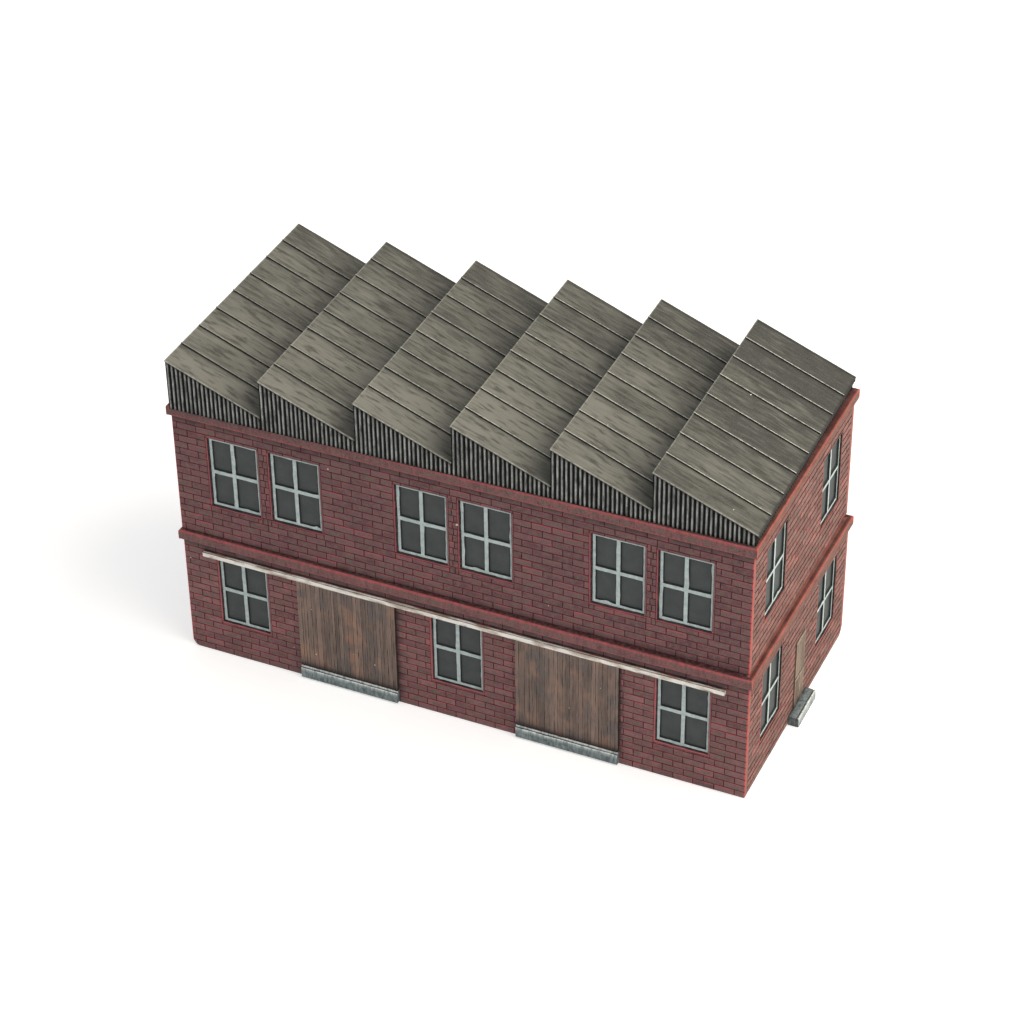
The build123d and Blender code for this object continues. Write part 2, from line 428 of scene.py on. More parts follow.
def brick_paint(name, dark, light, dry, joint, soil_and_shade, catch, streak=(3, 3, 1)):
    """Purple-brown paint, dark in the joints and dry-brushed red along some edges.

    catch is the least share of the dry-brushed colour that an edge takes.
    """
    paint = Finish(name, 0.8)
    cloud = paint.noise(7.0)
    stroke = paint.noise(0.7, streak, detail=5)
    moss = paint.noise(1.3, detail=4, shift=9)
    grain = paint.noise(0.28, detail=4, shift=3)
    feed(paint.tree, paint.shader["Roughness"], paint.level(cloud, 0.3, 0.7, 0.7, 0.85))
    mood = paint.blend((paint.tone, 0.3), (cloud, 0.3), (stroke, 0.4))
    paint.base(dark, light, mood, 0.32, 0.68)
    paint.coat((106, 101, 93), moss, 0.45, 0.64, 0.75)
    paint.coat(dry, grain, 0.5, 0.72, 0.4)
    paint.coat(joint, grain, 0.46, 0.3, 0.5)
    brushed = paint.plus(catch, paint.level(stroke, 0.45, 0.7, 0, 0.4),
                         paint.level(paint.tone, 0.7, 1.0, 0, 0.6))
    paint.coat(dry, paint.times(paint.rim, brushed))
    open_joint = paint.level(paint.noise(1.6, (3, 3, 1), shift=15), 0.38, 0.56, 0.25, 1)
    paint.coat(joint, paint.times(paint.level(paint.lift, 0.95, 0.35), open_joint))
    # Dark wash and painted shade, thinner along the strokes.
    thin = paint.level(stroke, 0.4, 0.6, 1, 0.7)
    paint.coat(soil_and_shade, paint.times(paint.level(paint.wash, 0, 1), thin))
    return paint.finish(paint.blend((grain, 0.6), (stroke, 0.4)), 0.08)


def window_paint():
    """Blue-grey brush paint on the frames and bars, thin over black at their sides."""
    paint = Finish("window_frame_paint", 0.7)
    smear = paint.noise(1.0, detail=4)
    grain = paint.noise(0.25, shift=5)
    paint.base((176, 193, 194), (202, 215, 215), smear, 0.35, 0.65)
    paint.coat((150, 160, 160), grain, 0.5, 0.75, 0.3)
    paint.coat((34, 37, 37), paint.rim, 0.85, 0.5, 0.95)
    return paint.finish(grain, 0.04)


def pane_paint():
    """Flat dark grey glass, painted, with black round its edge: a run of wash, and painted shade
    beside the bars.
    """
    paint = Finish("window_pane_paint", 0.6, specular=0.35)
    cloud = paint.noise(3.0, detail=2)
    grain = paint.noise(0.3)
    paint.base((58, 64, 65), (69, 75, 75), cloud, 0.3, 0.7)
    paint.coat((54, 60, 60), grain, 0.45, 0.8, 0.3)
    paint.coat((16, 18, 18), paint.rim, share=0.95)
    return paint.finish(grain, 0.02)


def plank_paint(name, dark, light, warm, cold, groove, edge=0.3, tall=12):
    """Weathered board colours, streaked down each plank, with patches of grime.

    edge is how bright the planks' edges are, and tall how far the streaks are drawn out.
    """
    paint = Finish(name, 0.8)
    run = paint.noise(0.4, (1, 1, tall), detail=5)
    patch = paint.noise(4.5, (1, 1, 1.4), detail=4, shift=2)
    soil_and_shade = paint.noise(3.5, (1, 1, 1.2), shift=12)
    grain = paint.noise(0.18, (1, 1, 4), detail=4, shift=7)
    mood = paint.blend((paint.tone, 0.22), (run, 0.43), (patch, 0.35))
    paint.base(dark, light, mood, 0.33, 0.67)
    paint.coat(warm, patch, 0.52, 0.72, 0.55)
    paint.coat(cold, soil_and_shade, 0.5, 0.68, 0.65)
    paint.coat((70, 60, 56), run, 0.42, 0.3, 0.35)
    paint.coat(light, grain, 0.5, 0.8, 0.35)
    paint.coat((214, 200, 182), paint.times(paint.rim, edge, grain))
    open_groove = paint.level(paint.noise(1.4, (1, 1, 3), shift=15), 0.38, 0.54, 0.45, 1)
    paint.coat(groove, paint.times(paint.level(paint.lift, 0.95, 0.2, 0, 0.95), open_groove))
    # Near-black: wash and painted shade at the doors' feet, and black in the gaps behind the
    # boards.
    paint.coat((22, 20, 21), paint.wash, share=0.95)
    return paint.finish(paint.blend((run, 0.6), (grain, 0.4)), 0.1)


def rail_paint():
    """Cream paint, worn in long streaks to brown along the top, dark in its groove and with painted
    shade along the wall.
    """
    paint = Finish("rail_paint", 0.7)
    smear = paint.noise(1.2, (3, 1, 1), detail=4)
    patch = paint.noise(2.4, (5, 1, 1), detail=4, shift=4)
    grain = paint.noise(0.25, shift=6)
    paint.base((206, 196, 183), (255, 253, 248), smear, 0.36, 0.56)
    paint.coat((196, 190, 180), grain, 0.5, 0.75, 0.4)
    paint.coat((150, 132, 118), paint.times(paint.rim, paint.level(smear, 0.5, 0.34, 0, 1.8)))
    streaks = paint.times(paint.level(paint.wash, 0.1, 0.3), paint.level(patch, 0.47, 0.54))
    paint.coat((166, 128, 106), streaks, share=0.9)
    paint.coat((70, 50, 42), paint.wash, 0.6, 1.0, 0.95)
    return paint.finish(smear, 0.06)


def step_paint():
    """Blue-grey stone paint, brushed down, with bright edges and black corners."""
    paint = Finish("step_paint", 0.75)
    stroke = paint.noise(0.45, (1, 1, 4), detail=5)
    cloud = paint.noise(2.5, shift=2)
    mottle = paint.noise(0.8, detail=5, shift=5)
    paint.base((104, 117, 121), (162, 177, 180), stroke, 0.35, 0.68)
    paint.coat((98, 106, 109), cloud, 0.45, 0.75, 0.5)
    paint.coat((66, 74, 76), mottle, 0.52, 0.68, 0.5)
    paint.coat((238, 244, 243), paint.times(paint.rim, paint.level(stroke, 0.3, 0.55, 0.35, 1)))
    paint.coat((26, 29, 31), paint.wash, share=0.95)
    return paint.finish(stroke, 0.08)


def roof_paint():
    """Olive grey sheet, streaked and blotched, with pale worn edges, and black along seams and
    toward the valleys from wash and painted shade.
    """
    paint = Finish("roof_sheet_paint", 0.7)
    streak = paint.noise(0.5, (10, 1, 10), detail=6)
    cloud = paint.noise(6.0, (1.5, 1, 1.5), detail=4, shift=3)
    spot = paint.noise(0.9, (4, 1, 4), detail=5, shift=8)
    grain = paint.noise(0.2, shift=8)
    mood = paint.blend((streak, 0.5), (cloud, 0.38), (paint.tone, 0.12))
    paint.base((70, 70, 65), (124, 123, 114), mood, 0.35, 0.66)
    paint.coat((60, 58, 53), spot, 0.52, 0.66, 0.7)
    paint.coat((130, 129, 120), spot, 0.44, 0.3, 0.3)
    paint.coat((146, 145, 136), grain, 0.5, 0.8, 0.3)
    paint.coat((16, 15, 14), paint.wash, share=0.99)
    chips = paint.level(paint.noise(0.7, shift=1), 0.35, 0.6, 0.35, 1)
    paint.coat((214, 216, 206), paint.times(paint.rim, chips))
    return paint.finish(paint.blend((streak, 0.6), (grain, 0.4)), 0.06)


def rib_paint():
    """Grey brushed on the crests of the ribs, over near-black grooves, with painted shadow at their
    top and foot.
    """
    paint = Finish("corrugated_paint", 0.8, specular=0.08)
    smear = paint.noise(0.8, (1, 1, 3), detail=4)
    grain = paint.noise(0.25, shift=4)
    crest = paint.times(paint.rim, paint.level(smear, 0.32, 0.58, 0.35, 1),
                        paint.level(grain, 0.3, 0.6, 0.6, 1))
    paint.base((9, 9, 9), (202, 206, 205), crest)
    paint.coat((70, 72, 71), grain, 0.52, 0.75, 0.2)
    paint.coat((24, 18, 18), paint.wash, share=0.9)
    return paint.finish(smear, 0.04)


def cast_paint():
    """Bare dark inside of the castings."""
    paint = Finish("bare_cast_paint", 0.85)
    paint.base((70, 58, 56), (96, 80, 76), paint.noise(4.0, detail=4))
    return paint.finish(paint.noise(0.5), 0.05)


def dust_paint():
    """Crumbs of pale dust."""
    paint = Finish("dust_paint", 0.9)
    paint.base((214, 200, 188), (246, 238, 230), paint.noise(0.2))
    return paint.finish(paint.noise(0.1), 0.02)


# Near-black for the dark wash and painted shade on bricks.
wash_and_shade_black = (34, 37, 41)
brick = brick_paint("brick_paint", (91, 71, 75), (124, 100, 102), (200, 88, 98), (116, 66, 70),
                    wash_and_shade_black, 0.12)
# Lighter than the upper storey's brick paint: painted bounce light from the floor on the lower
# front; its stronger red dry-brush is the model's own paint.
ground_brick_with_painted_bounce = brick_paint("ground_brick_paint_with_painted_bounce", (102, 81, 84), (139, 113, 114), (206, 96, 102),
                           (124, 74, 77), wash_and_shade_black, 0.25)
# The ends' near-black joint colour: dark joints, with painted shade in them under the bricks.
end_brick = brick_paint("end_brick_paint", (104, 77, 73), (151, 118, 112), (188, 88, 80),
                        (34, 15, 14), wash_and_shade_black, 0.15)
ledge_paint = brick_paint("ledge_paint", (84, 63, 67), (146, 109, 109), (210, 91, 97),
                          (46, 32, 34), (52, 17, 21), 0.4, streak=(1, 1, 3))
end_ledge_paint = brick_paint("end_ledge_paint", (58, 34, 32), (150, 110, 99), (202, 92, 81),
                              (40, 22, 20), (66, 19, 22), 0.4, streak=(5, 5, 1))
frame_paint = window_paint()
pane = pane_paint()
planks = plank_paint("door_plank_paint", (100, 87, 82), (150, 129, 119), (178, 128, 103),
                     (102, 97, 98), (36, 29, 27))
side_planks = plank_paint("side_door_paint", (98, 82, 73), (138, 124, 110), (140, 104, 90),
                          (88, 86, 82), (116, 90, 78), 1.0, 6)
cream = rail_paint()
stone = step_paint()
sheet_paint = roof_paint()
ribs = rib_paint()
cast = cast_paint()
dust = dust_paint()


# ---- brickwork ----
courses = 18
brick_pitch = 4.17
brick_wander = 0.12
least_brick, least_band = 0.9, 0.35
pier = (1.5, 2.2)  # between these widths, a pier between windows is two half bricks a course
pier_shift = 0.15
joint_depth = 0.12
front_joint, end_joint, end_upright_joint = 0.18, 0.3, 0.12
post_width = 1.3
near_border, far_border = 0.48, 0.36


def window_holes(centres, sill):
    return [(c - window_width / 2, c + window_width / 2, sill, sill + window_height)
            for c in centres]


def clear_runs(low, high, blocked):
    """What is left of low..high outside the blocked stretches."""
    runs = [(low, high)]
    for start, end in blocked:
        runs = [(a, b) for low_end, high_end in runs
                for a, b in ((low_end, min(high_end, start)), (max(low_end, end), high_end))
                if b > a]
    return runs


def course_runs(low, high, half, blocked):
    """One course as stretches along the wall, each with its free height bands."""
    near = [b for b in blocked if b[2] < high and b[3] > low]
    edges = sorted({-half, half} | {v for b in near for v in b[:2] if abs(v) < half})
    runs = []
    for start, end in zip(edges, edges[1:]):
        middle = (start + end) / 2
        bands = clear_runs(low, high, [b[2:] for b in near if b[0] < middle < b[1]])
        if runs and runs[-1][2] == bands:
            start = runs.pop()[0]
        runs.append((start, end, bands))
    return runs


def bricks(half, bottom, top, blocked, gap, upright_gap):
    """Running bond over one face; gives the bricks and which of them end at a corner.

    gap and upright_gap are half the width of a bed joint and of an upright one.
    """
    height = (top - bottom) / courses
    rows = []
    for course in range(courses):
        low, high = bottom + course * height, bottom + (course + 1) * height
        phase = 0.25 + 0.5 * (course % 2) + np.arange(int(2 * half / brick_pitch) + 1)
        wander = rng.uniform(-brick_wander, brick_wander, len(phase))
        joints = -half + brick_pitch * phase + wander
        for start, end, bands in course_runs(low, high, half, blocked):
            inside = joints[(joints > start + least_brick) & (joints < end - least_brick)]
            if pier[0] < end - start < pier[1]:
                shift = pier_shift * (-1) ** course + rng.uniform(-0.1, 0.1)
                inside = [(start + end) / 2 + shift]
            ends = [start, *inside, end]
            rows += [(a, b, band_low + gap, band_high - gap) for a, b in zip(ends, ends[1:])
                     for band_low, band_high in bands if band_high - band_low > least_band]
    rows = np.array(rows)
    at_low, at_high = rows[:, 0] == -half, rows[:, 1] == half
    rows[~at_low, 0] += upright_gap
    rows[~at_high, 1] -= upright_gap
    return rows, (at_low, at_high)


def window_border(skin, hole, back):
    """The plain raised margin down the sides and under a window, brushed red.

    back is the width of the dark line left between the margin and the window.
    """
    low, high, bottom, top = hole
    near, far = low - near_border, high + far_border
    pads(skin, [(near, low - back, bottom, top)], joint=0.1, ring=0.2, parts=(3, 9),
         strength=1.8, tones=[0.95])
    pads(skin, [(high, far, bottom, top)], ring=0.2, parts=(3, 9), strength=0.7, tones=[0.7])
    pads(skin, [(near, far, bottom - near_border, bottom - back)], joint=0.1, ring=0.2,
         parts=(9, 3), strength=1.6, tones=[0.95])


def rounded(carry, corners):
    """The carry function with building corners worn round; corners are (x, y, z, reach)."""
    def shape(points):
        points = carry(points)
        for x, y, z, reach in corners:
            outward = np.array([math.copysign(1, x), math.copysign(1, y), -1])
            centre = np.array([x, y, z]) - reach * outward
            from_centre = points - centre
            distance = np.linalg.norm(from_centre, axis=1)
            limit = math.sqrt(2) * reach
            cut = (from_centre * outward > 0).all(1) & (distance > limit)
            points[cut] = centre + from_centre[cut] * (limit / distance[cut])[:, None]
        return points
    return shape


def brick_side(name, storey, side, centres, paint, wash_and_shade_map, covered=((), ()), corners=()):
    """One side of a storey: core, window margins and bricks.

    covered holds more openings, and stretches that a door hides.
    """
    bottom, top = storey.bottom, storey.top
    across_end = side in ENDS
    half = storey.half[across_end]
    holes = window_holes(centres, storey.sill)
    skin = Skin(rounded(storey.facade(side), corners))
    core = half - joint_depth
    reach = half - storey.wall if across_end else core
    near = np.arange(0.3, 3.0, 0.45)  # cuts near the corners, where the core is rounded
    bends = [along for along in (*(near - core), *(core - near)) if abs(along) < reach]
    slab(skin, (-reach, reach), (bottom, top), [*holes, *covered[0]], -joint_depth, -storey.wall,
         cuts=(bends, near + bottom))
    blocked = [(a - near_border, b + far_border, low - near_border, high)
               for a, b, low, high in holes]
    if across_end:
        for low in (-half, half - post_width):
            corner = (low == -half, low != -half)
            pads(skin, [(low, low + post_width, bottom + 0.1, top)], joint=joint_depth, ring=0.15,
                 parts=(1, 40), corners=corner, worn=0.75, strength=0.45, caught=(0.3, 0.3),
                 tones=[0.85], wash_and_shade_map=wash_and_shade_map)
            blocked.append((low - corner[0], low + post_width + corner[1], bottom - 1, top + 1))
    bed, upright = (end_joint, end_upright_joint) if across_end else (front_joint, front_joint)
    rows, ends = bricks(half, bottom, top, [*blocked, *covered[1]], bed / 2, upright / 2)
    pads(skin, rows, joint=joint_depth, corners=ends, worn=0.05, caught=(0.45, 0.5), wash_and_shade_map=wash_and_shade_map)
    for hole in holes:
        window_border(skin, hole, 0.2 if storey is upper else 0.1)
    skin.piece(f"{name}_bricks_{side}", paint, "brick", f"{name}_wall_{side}")


def under_ledge(top, bottom=-9.0):
    """Dark wash and painted shade on the bricks just under a ledge and, thinner, just over the one
    below.
    """
    def wash_and_shade_map(along, up):
        streak = 0.55 + 0.2 * np.sin(1.7 * along) * np.sin(0.45 * along + 1)
        return np.clip(streak * (1.3 - (top - up) / 1.3), 0, 0.75) + np.clip(
            0.5 - (up - bottom) / 0.7, 0, 0.4)
    return wash_and_shade_map


door_boxes = [ground.limits(f"sliding_door_{hand}") for hand in ENDS]
rail_low, rail_high = ground.limits("door_rail")
side_low, side_high = ground.limits("side_door")
door_lap = 0.9
# each holds the openings behind doors, and the stretches of brick that the doors hide
front_covered = ([(low[0] + door_lap, high[0] - door_lap, low[2], high[2] - door_lap)
                  for low, high in door_boxes],
                 [(low[0] + 0.5, high[0] - 0.5, low[2], high[2]) for low, high in door_boxes])
right_covered = ([(side_low[1] + door_lap, side_high[1] - door_lap, side_low[2] + door_lap,
                   side_high[2] - door_lap)],
                 [(side_low[1] + 0.4, side_high[1] - 0.4, side_low[2], side_high[2] - 0.4)])
worn_corners = [(-ground.half[0], -ground.half[1], 0, 1.9), (*ground.half, 0, 2.3)]
under_string = under_ledge(ground.top)


def front_wash_and_shade(along, up):
    """Wash and painted shade under the string course, over the rail and beside the doors, and a
    darker patch by the right corner.
    """
    over_rail = np.exp(-((up - rail_high[2] - 0.15) / 0.35) ** 2) * (np.abs(along) < rail_high[0])
    by_door = sum(((along > high[0] - 0.5) & (along < high[0] + 0.25) & (up < high[2]))
                  for low, high in door_boxes)
    by_corner = np.exp(-((along - 56) / 7) ** 2 - ((up - 22) / 9) ** 2)
    return np.clip(under_string(along, up) + 0.9 * over_rail + 0.8 * by_door
                   + 0.22 * by_corner, 0, 0.95)


def end_wash_and_shade(along, up):
    """Wash and painted shade under the string course, over an even painted shade on the whole end
    wall.
    """
    return np.clip(under_string(along, up) + 0.08, 0, 0.9)


for side, *details in (("front", ground_centres, ground_brick_with_painted_bounce, front_wash_and_shade, front_covered),
                       ("right", end_centres, end_brick, end_wash_and_shade, right_covered),
                       ("back", upper_centres, ground_brick_with_painted_bounce, under_string),
                       ("left", end_centres, end_brick, end_wash_and_shade)):
    brick_side("ground", ground, side, *details, corners=worn_corners)
for side in SIDES:
    centres, paint = (end_centres, end_brick) if side in ENDS else (upper_centres, brick)
    brick_side("upper", upper, side, centres, paint, under_ledge(upper.top, upper.bottom))


# ---- ledges ----
string_low, string_high = ground.limits("string_course_front")
ledge_projection = string_high[0] - ground.half[0]
ledge_height = string_high[2] - string_low[2]


def ledge(name, storey, foot, end_wear, low_wear):
    """A moulded band on top of a storey, mitred at the corners.

    foot is how far out the next casting's face stands on it. end_wear is the strength of the worn
    edges on the ends, and low_wear that of the lower edge.
    """
    out, bottom, top = ledge_projection, storey.top, storey.top + ledge_height
    for side in SIDES:
        across_end = side in ENDS
        inner, wash, wear = (out - 0.38, 0.85, end_wear) if across_end else (out - 0.4, 0.9, 1.0)
        under = 0.1 if across_end else wash
        # The ledge's underside and its top where the next casting stands are dark: wash and painted
        # shade.
        profile = [(-storey.wall, bottom, 0, 0.3), (0, bottom, 0, 0.9),
                   (out - 0.22, bottom, 0.3, 0.4), (out - 0.06, bottom + 0.08, 0.7 * low_wear, 0),
                   (out, bottom + 0.25, 0.5 * low_wear, 0), (out, bottom + 0.5, 0, 0),
                   (out, bottom + 1.1, 0, 0), (out, top - 0.55, 0, 0), (out, top - 0.28, 0.6, 0),
                   (out - 0.06, top - 0.1, 1, 0), (out - 0.2, top, 0.9, 0),
                   (inner + 0.1, top, 0.5, 0.2 * wash), (inner, top, 0.1, 0.6 * wash),
                   (foot + 0.15, top, 0, wash), (foot - 0.08, top, 0.5 * across_end, under),
                   (-storey.wall, top, 0, under)]
        profile = [(stands, up, rim * wear, soil_and_shade) for stands, up, rim, soil_and_shade in profile]
        half = storey.half[across_end]
        skin = Skin(storey.facade(side))
        sweep(skin, profile, np.linspace(-half, half, int(half / 0.4)), mitre=1.0, wander=0.025,
              capped=False, end_rim=1.5 * across_end)
        skin.piece(f"{name}_band_{side}", end_ledge_paint if across_end else ledge_paint, "ledge",
                   f"{name}_{side}")


ledge("string_course", ground, foot=-0.3, end_wear=0.75, low_wear=0.6)
ledge("cornice", upper, foot=-1.0, end_wear=0.8, low_wear=1.0)


# ---- windows ----
def window(bars, panes, centre, sill, slim):
    """A painted cast window of two by two panes; slim is for the windows of the ends."""
    crown, base = -sash_recess, -sash_recess - frame_depth
    low, high, bottom, top = window_holes([centre], sill)[0]
    post = centre + rng.uniform(-0.2, 0.05)
    middle = sill + window_height * rng.uniform(0.505, 0.515)
    pads(panes, [(low - 0.1, high + 0.1, bottom - 0.1, top + 0.1)], face=base,
         joint=pane_thickness, rim=0.01, ring=0.02, parts=(1, 1), wobble=0, tones=[0], strength=0,
         wash_and_shade_map=lambda along, up: 1.0)
    # The end windows' panes take a wider dark rim, as painted shade from the bars and the reveal.
    pads(panes, [(a, b, u, v) for a, b in ((low + 0.5, post - 0.25), (post + 0.25, high - 0.5))
                 for u, v in ((bottom + 0.5, middle - 0.3), (middle + 0.3, top - 0.5))],
         face=base + 0.02, joint=0.02, rim=0.15, ring=0.7 if slim else 0.4, wobble=0)
    wide, inner = (0.48, 0.6) if slim else (0.56, 0.78)
    thin = 0.75 * wide
    near_gap, far_gap = 0.1, 0.05
    near, far = near_gap + wide / 2, far_gap + thin / 2
    for line, width in ((low + near, wide), (high - far, thin)):
        bar(bars, (line, bottom + near_gap), (line, top - far_gap), width, base, crown - 0.01)
    for line, width, blob in ((bottom + near, wide, 0.4), (top - far, thin, 0.15)):
        bar(bars, (low + near_gap, line), (high - far_gap, line), width, base, crown, blob)
    bar(bars, (post, bottom + near), (post, top - far), inner, base, crown + 0.01)
    bar(bars, (low + near, middle), (high - far, middle), inner, base, crown + 0.02)


def windows(name, side, *groups):
    """All windows of one node; groups are (storey, centres)."""
    bars, panes = Skin(None), Skin(None)
    for storey, centres in groups:
        bars.carry = panes.carry = storey.facade(side)
        for centre in centres:
            window(bars, panes, centre, storey.sill, slim=side in ENDS)
    bars.piece(f"{name}_bars", frame_paint, "window", name)
    panes.piece(f"{name}_panes", pane, "window", name)


windows("windows_front_ground", "front", (ground, ground_centres))
windows("windows_back_ground", "back", (ground, upper_centres))
for side in LONG_SIDES:
    windows(f"windows_{side}_upper", side, (upper, upper_centres))
for end in ENDS:
    windows(f"windows_{end}_end", end, (ground, end_centres), (upper, end_centres))


# ---- doors, rail, sills and step ----
front = ground.facade("front")
right = ground.facade("right")
board_count = 25
sill_drop = 0.3


def boards(low, high, count, uneven):
    """Board edges across a door, of slightly different widths."""
    widths = 1 + uneven * rng.uniform(-1, 1, count)
    return low + (high - low) * np.concatenate(([0], np.cumsum(widths) / widths.sum()))


def door_foot_wash_and_shade(bottom, reach, amount):
    """Dark wash and painted shade at the foot of a door."""
    return lambda along, up: np.clip(
        amount * (1 + 0.3 * np.sin(2.1 * along)) * np.exp(-((up - bottom) / reach) ** 2), 0, 1)


def sliding_door(hand, low, high):
    """Narrow boards over a black core."""
    face = -low[1] - ground.half[1]
    bottom = low[2] - sill_drop
    skin = Skin(front)
    edges = boards(low[0], high[0], board_count, 0.35)
    rows = [(a + 0.04, b - 0.04, bottom, high[2]) for a, b in zip(edges, edges[1:])]
    pads(skin, rows, face=face, joint=0.14, rim=0.04, ring=0.14, parts=(1, 16), wobble=0.025,
         wash_and_shade_map=door_foot_wash_and_shade(low[2], 0.75, 2.1))
    slab(skin, (low[0] + 0.05, high[0] - 0.05), (bottom, high[2]), [], face - 0.13, 0, 0.6)
    skin.piece(f"sliding_door_{hand}_planks", planks, "door_planks", f"sliding_door_{hand}")


def door_sills():
    """A two-step sill under each sliding door, with worn bright nosings."""
    low, high = ground.limits("door_sills")
    base, deep = low[2], -low[1] - ground.half[1]
    top = door_boxes[0][0][2] - sill_drop
    nosing, shallow = top - 0.6, 0.7
    # The treads are dark toward the door and the wall: wash and painted shade.
    profile = [(0, base, 0, 0.5), (deep, base, 0.1, 0.3), (deep, nosing - 0.9, 0, 0),
               (deep, nosing - 0.35, 0.35, 0), (deep, nosing - 0.06, 1, 0),
               (deep - 0.06, nosing, 1, 0), (shallow + 0.03, nosing, 0, 1),
               (shallow, nosing + 0.05, 0, 1), (shallow, nosing + 0.2, 0.7, 0),
               (shallow, top - 0.1, 1, 0), (shallow - 0.1, top, 0.9, 0),
               (shallow - 0.18, top, 0, 1), (0, top, 0, 1)]
    skin = Skin(front)
    for door_low, door_high in door_boxes:
        sweep(skin, profile, np.linspace(door_low[0], door_high[0], 60), wander=0.045)
    skin.piece("door_sill_stones", stone, "step", "door_sills")


def door_rail():
    """The rail over the doors, with a line along its face and a groove along its top."""
    bottom, top = rail_low[2], rail_high[2]
    face = -rail_low[1] - ground.half[1]
    # The back of the top, against the wall, is painted dark: painted shade.
    profile = [(0, bottom, 0, 0.3), (face - 0.05, bottom, 0, 0.1), (face, bottom + 0.07, 0.5, 0),
               (face, bottom + 0.42, 0, 0), (face - 0.02, bottom + 0.48, 0, 0.12),
               (face, bottom + 0.54, 0, 0), (face, top - 0.06, 0.3, 0),
               (face - 0.03, top - 0.02, 0.3, 0.5), (face - 0.06, top - 0.06, 0.3, 1.0),
               (face - 0.22, top - 0.06, 0.3, 1.0), (face - 0.26, top - 0.02, 0.3, 0.25),
               (face * 0.4, top, 0.4, 0.15), (0.2, top - 0.02, 0.4, 0.5),
               (0.06, top - 0.06, 0.5, 0.95), (0, top - 0.06, 0, 1)]
    skin = Skin(front)
    sweep(skin, profile, np.linspace(rail_low[0], rail_high[0], 220), wander=0.03)
    skin.piece("door_rail_bar", cream, "rail", "door_rail")


def side_door():
    """Two leaves of two boards, with a pale lintel line and a pale edge under the split."""
    low, high = side_low[1], side_high[1]
    bottom, top = side_low[2], side_high[2]
    face = side_high[0] - ground.half[0]
    gap, lintel = 0.2, 0.35
    split = bottom + 0.45 * (top - bottom)
    leaf_top = split - gap - lintel
    skin = Skin(right)
    for foot, head, tones in ((bottom, leaf_top, [0.1, 0.9]),
                              (split + gap, top - lintel, [1.0, 0.4])):
        edges = boards(low, high, 2, 0.05)
        rows = [(a + 0.12, b - 0.12, foot + 0.03, head - 0.03) for a, b in zip(edges, edges[1:])]
        pads(skin, rows, face=face, joint=0.2, rim=0.06, ring=0.2, parts=(6, 10), wobble=0.03,
             tones=tones, wash_and_shade_map=door_foot_wash_and_shade(bottom, 1.6, 0.8))
    pads(skin, [(low, high, top - lintel, top), (low, high, leaf_top, leaf_top + lintel)],
         face=face, joint=0.1, rim=0.08, ring=0.12, parts=(6, 1), wobble=0.02, tones=[1, 1])
    slab(skin, (low + 0.05, high - 0.05), (bottom + 0.05, top - 0.05), [], face - 0.19, 0, 0.9, 0.2)
    skin.piece("side_door_leaves", side_planks, "side_door", "side_door")


def side_step():
    """The step block, with a groove along its top."""
    low, high = ground.limits("side_step")
    deep, top = high[0] - ground.half[0], high[2]
    groove = deep - 0.42
    profile = [(0, 0, 0, 1), (deep, 0, 0.1, 0.6), (deep, top * 0.12, 0.15, 0),
               (deep, top * 0.6, 0.35, 0), (deep, top - 0.2, 0.5, 0), (deep, top - 0.06, 1, 0),
               (deep - 0.06, top, 1, 0), (groove + 0.14, top, 0.3, 0.3),
               (groove + 0.06, top - 0.25, 0, 1), (groove - 0.06, top - 0.25, 0, 1),
               (groove - 0.14, top, 0.3, 0.4), (groove - 0.4, top, 0.1, 0.2),
               (0.9, top, 0, 0.2), (0.4, top, 0, 0.5), (0, top, 0, 1)]
    skin = Skin(right)
    sweep(skin, profile, np.linspace(low[1], high[1], 40), wander=0.05, cap_wash=0.5)
    skin.piece("side_step_stone", stone, "step", "side_step")


for hand, box in zip(ENDS, door_boxes):
    sliding_door(hand, *box)
door_sills()
door_rail()
side_door()
side_step()


# ---- roof ----
teeth = 6
seams = 7
seam_height = 0.25
seam_shift = -0.25
sheet = 0.8
lip = 0.3
roof_wall = 1.6
rib_depth = 0.25
rib_pitch = 0.9
behind_ribs = rib_depth + 0.02
first_low, first_high = roof.limits("roof_slope_1")
peak_x = first_low[0]
roof_pitch = (roof.half[0] - peak_x) / teeth
peak = first_high[2] - seam_height
valley = first_low[2] + sheet
depth_half = first_high[1]
eave = roof.limits(f"roof_slope_{teeth}")[1][0]
slope_fall = (peak - valley) / roof_pitch
# In a sheet's edge, the last column is dark wash and painted shade under the sheet's lip.
verge = [(behind_ribs, -sheet, 0, 1), (behind_ribs, -lip, 0, 1), (0.02, -lip + 0.02, 0.1, 0.8),
         (0, -0.1, 0.4, 0.2), (0.06, -0.01, 0.6, 0)]  # a sheet's edge: (in, up, rim, wash)


def peak_of(tooth):
    return peak_x + roof_pitch * tooth


def sheet_top(tooth, x):
    return peak - slope_fall * (x - peak_of(tooth))


